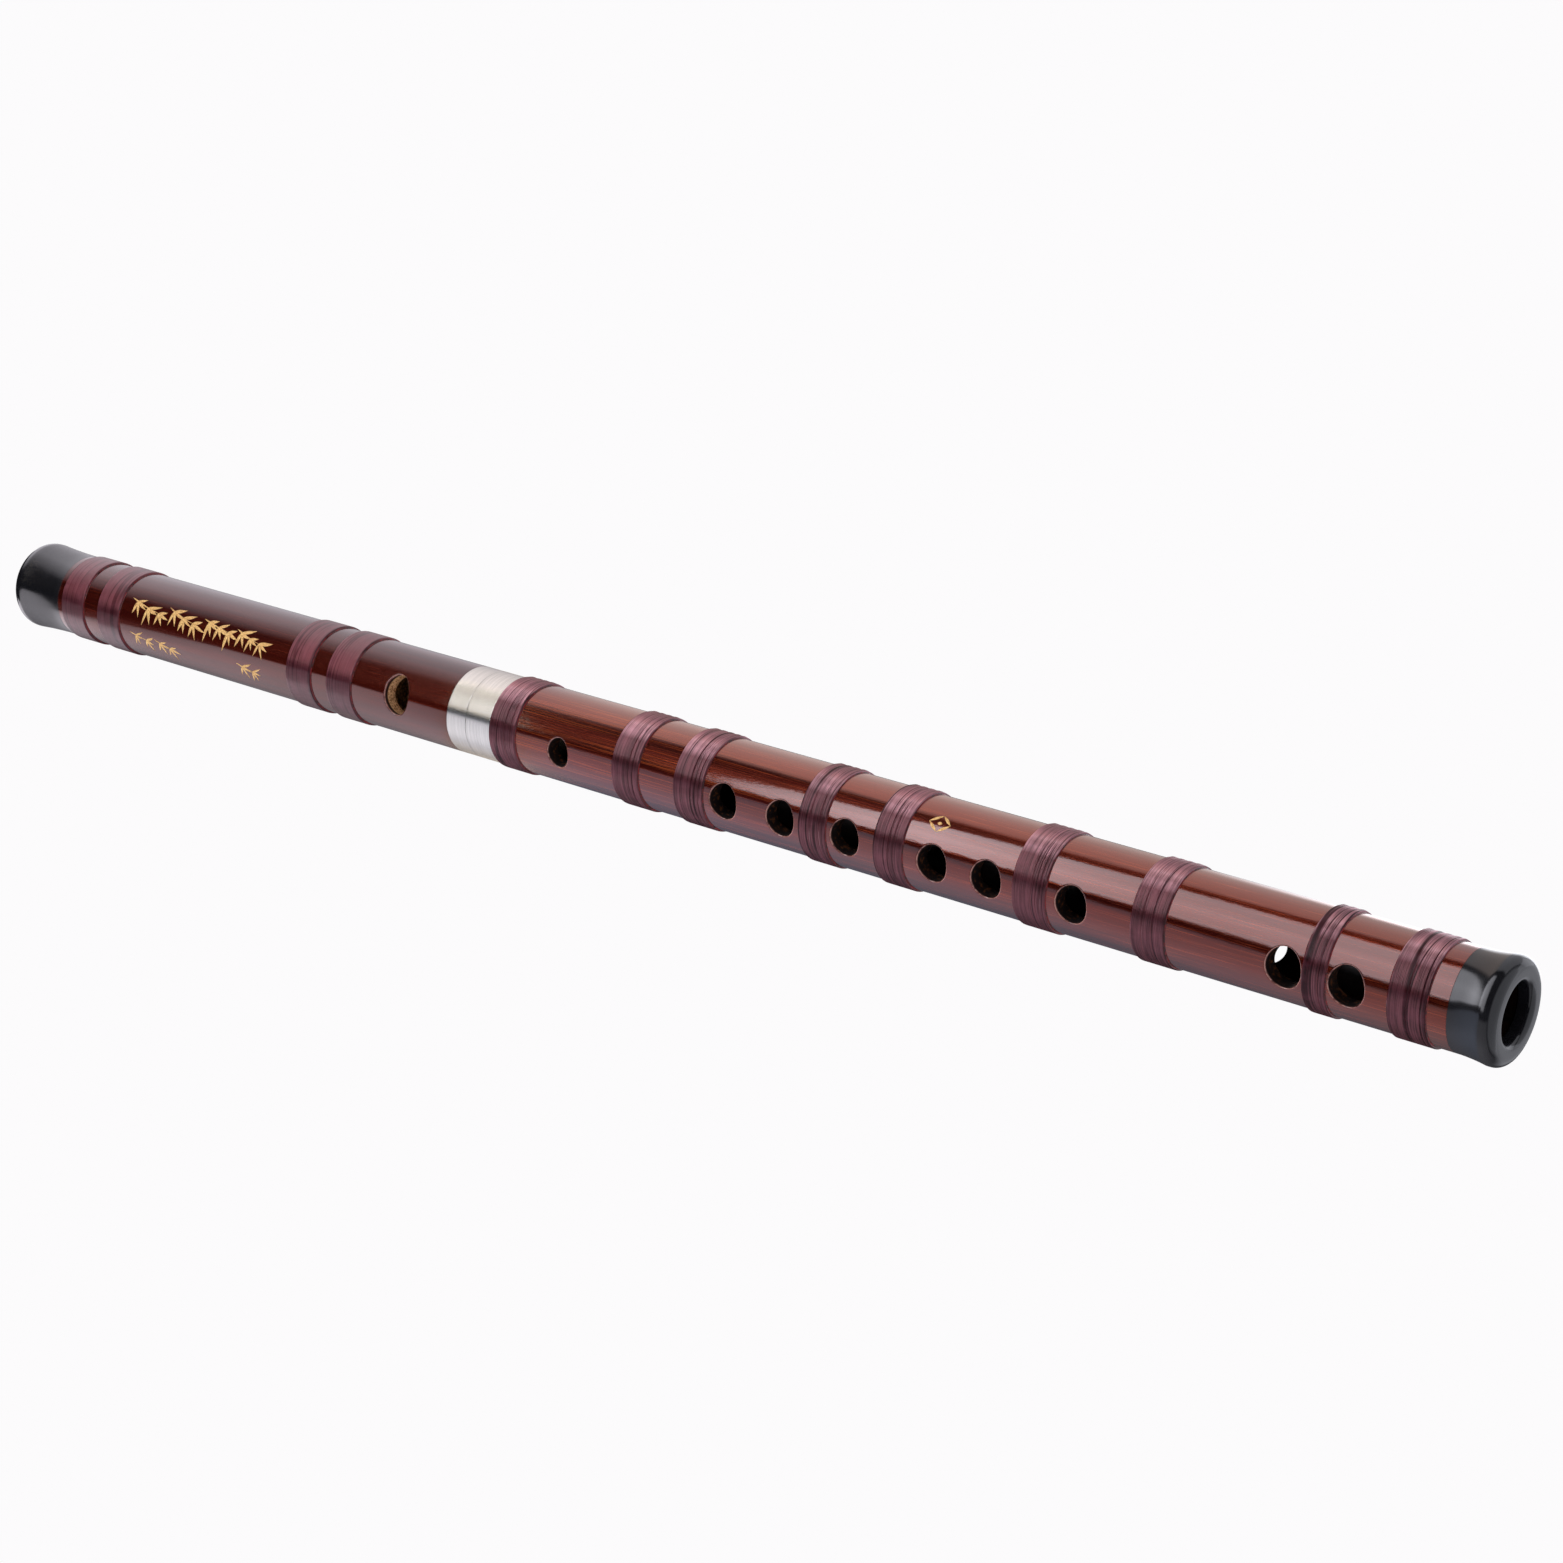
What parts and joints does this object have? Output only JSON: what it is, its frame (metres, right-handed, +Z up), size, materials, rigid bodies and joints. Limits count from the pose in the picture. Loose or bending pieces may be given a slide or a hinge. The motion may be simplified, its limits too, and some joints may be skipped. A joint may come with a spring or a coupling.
{
  "type": "transverse bamboo flute",
  "caption": "Chinese transverse flute in dark lacquered bamboo with thread bindings, black horn end caps and a metal slip joint between its two sections.",
  "frame": {"origin": "bottom centre of the bounding box, on the plane that both end caps lie on", "axes": "+X along the flute to the open tail end, +Z up out of the finger holes, +Y to the side that the blow hole is turned to"},
  "size_m": [0.4912, 0.0256, 0.0257],
  "materials": {
    "lacquered_bamboo": "glossy dark red-brown lacquer over bamboo grain",
    "horn": "polished black horn",
    "nickel_silver": "finely turned nickel silver",
    "silk_thread": "plum thread under clear lacquer",
    "cork": "plain cork"
  },
  "bodies": {
    "lower_section": {"body_tube": "lacquered_bamboo", "body_ferrule": "nickel_silver", "socket_sleeve": "nickel_silver", "tail_cap": "horn", "thread_binding_05": "silk_thread", "thread_binding_06": "silk_thread", "thread_binding_07": "silk_thread", "thread_binding_08": "silk_thread", "thread_binding_09": "silk_thread", "thread_binding_10": "silk_thread", "thread_binding_11": "silk_thread", "thread_binding_12": "silk_thread", "thread_binding_13": "silk_thread"},
    "tenon": {"tenon_sleeve": "nickel_silver"},
    "head_section": {"head_tube": "lacquered_bamboo", "head_cap": "horn", "head_ferrule": "nickel_silver", "cork_stopper": "cork", "thread_binding_01": "silk_thread", "thread_binding_02": "silk_thread", "thread_binding_03": "silk_thread", "thread_binding_04": "silk_thread"}
  },
  "joints": [
    {"name": "tuning_slide", "type": "slide", "parent": "lower_section", "child": "tenon", "axis": [-1, 0, 0], "range_m": [0, 0.02]},
    {"name": "head_turn", "type": "hinge", "parent": "tenon", "child": "head_section", "pos_m": [-0.0577, 0, 0.01284], "axis": [1, 0, 0], "continuous": true}
  ]
}
